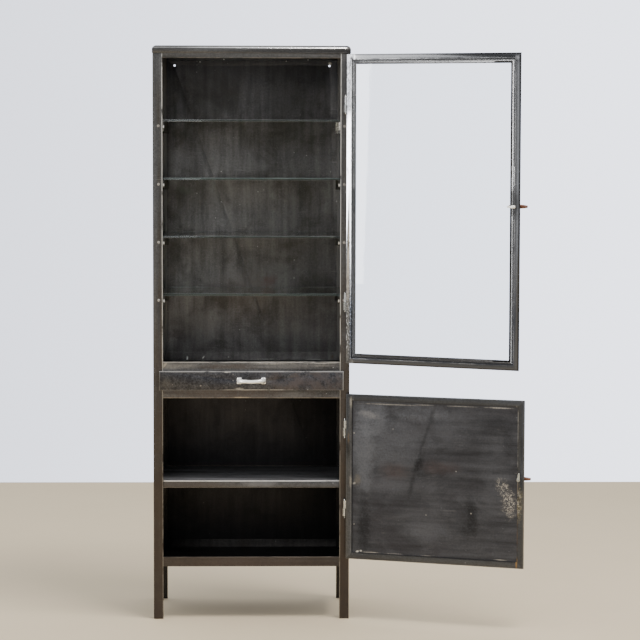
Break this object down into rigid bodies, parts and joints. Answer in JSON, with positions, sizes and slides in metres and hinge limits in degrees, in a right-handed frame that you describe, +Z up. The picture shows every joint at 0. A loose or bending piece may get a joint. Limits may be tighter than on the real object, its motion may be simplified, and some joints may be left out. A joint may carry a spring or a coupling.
{
  "type": "medicine cabinet",
  "caption": "Tall blackened-steel medicine cabinet with a glazed upper bay, glass shelves, a drawer and a closed lower bay; both doors stand open.",
  "frame": {"origin": "on the floor under the middle of the cabinet's own footprint, with the doors left out", "axes": "+X to the right as seen from the front, +Y to the back (the wall), +Z up"},
  "size_m": [1.0776, 0.5711, 1.6575],
  "materials": {
    "frame_steel": "blackened and waxed, worn bright at the edges",
    "dark_sheet": "blackened and waxed, streaked and stained",
    "bare_steel": "dull grey, worn",
    "plain_screws": "dull bright steel",
    "clear_glass": "clear, polished",
    "shelf_glass": "clear with green edges",
    "hinge_nickel": "worn nickel plate",
    "latch_nickel": "worn nickel plate",
    "cream_nickel": "yellowed nickel plate",
    "handle_wood": "polished brown",
    "packing_wood": "plain board"
  },
  "bodies": {
    "cabinet": {"front_left_post": "frame_steel", "front_right_post": "frame_steel", "rear_left_post": "frame_steel", "rear_right_post": "frame_steel", "front_bottom_rail": "frame_steel", "front_drawer_rail": "frame_steel", "front_middle_rail": "frame_steel", "front_top_rail": "frame_steel", "rear_bottom_rail": "frame_steel", "rear_drawer_rail": "frame_steel", "rear_middle_rail": "frame_steel", "rear_top_rail": "frame_steel", "left_bottom_rail": "frame_steel", "left_middle_rail": "frame_steel", "left_top_rail": "frame_steel", "right_bottom_rail": "frame_steel", "right_middle_rail": "frame_steel", "right_top_rail": "frame_steel", "lid": "dark_sheet", "lid_packing": "packing_wood", "back_panel": "dark_sheet", "left_side_panel": "dark_sheet", "right_side_panel": "dark_sheet", "left_side_glass": "clear_glass", "right_side_glass": "clear_glass", "side_glass_strips": "bare_steel", "divider_sheet": "dark_sheet", "drawer_bay_floor": "dark_sheet", "bottom_floor": "dark_sheet", "metal_shelf": "dark_sheet", "shelf_ledges": "frame_steel", "glass_shelf_1": "shelf_glass", "glass_shelf_2": "shelf_glass", "glass_shelf_3": "shelf_glass", "glass_shelf_4": "shelf_glass", "shelf_brackets": "bare_steel", "bracket_screws": "plain_screws", "bracket_nuts": "plain_screws", "drawer_runners": "frame_steel", "frame_hinge_knuckles": "hinge_nickel", "hinge_pins": "hinge_nickel"},
    "drawer": {"drawer_front": "dark_sheet", "drawer_body": "dark_sheet", "drawer_pull": "cream_nickel", "pull_screws": "plain_screws"},
    "upper_door": {"upper_door_frame": "frame_steel", "upper_door_glass": "clear_glass", "upper_door_bead": "frame_steel", "upper_hinge_knuckles": "hinge_nickel", "upper_latch_rosette": "latch_nickel"},
    "upper_latch": {"upper_latch_spindle": "latch_nickel", "upper_latch_tongue": "latch_nickel", "upper_latch_handle": "handle_wood"},
    "lower_door": {"lower_door_frame": "frame_steel", "lower_door_panel": "dark_sheet", "lower_hinge_knuckles": "hinge_nickel", "lower_latch_rosette": "latch_nickel"},
    "lower_latch": {"lower_latch_spindle": "latch_nickel", "lower_latch_tongue": "latch_nickel", "lower_latch_handle": "handle_wood"}
  },
  "joints": [
    {"name": "drawer_slide", "type": "slide", "parent": "cabinet", "child": "drawer", "axis": [0, -1, 0], "range_m": [0, 0.235]},
    {"name": "upper_door_hinge", "type": "hinge", "parent": "cabinet", "child": "upper_door", "pos_m": [0.2695, -0.1652, 1.206], "axis": [0, 0, 1], "range_deg": [-153.5, 12.5]},
    {"name": "lower_door_hinge", "type": "hinge", "parent": "cabinet", "child": "lower_door", "pos_m": [0.2695, -0.1652, 0.4323], "axis": [0, 0, 1], "range_deg": [-160, 6]},
    {"name": "upper_latch_turn", "type": "hinge", "parent": "upper_door", "child": "upper_latch", "pos_m": [0.73228, -0.40107, 1.206], "axis": [-0.4462, -0.8949, 0], "range_deg": [-180, 0]},
    {"name": "lower_latch_turn", "type": "hinge", "parent": "lower_door", "child": "lower_latch", "pos_m": [0.756, -0.34717, 0.4323], "axis": [-0.342, -0.9397, 0], "range_deg": [-83, 97]}
  ]
}
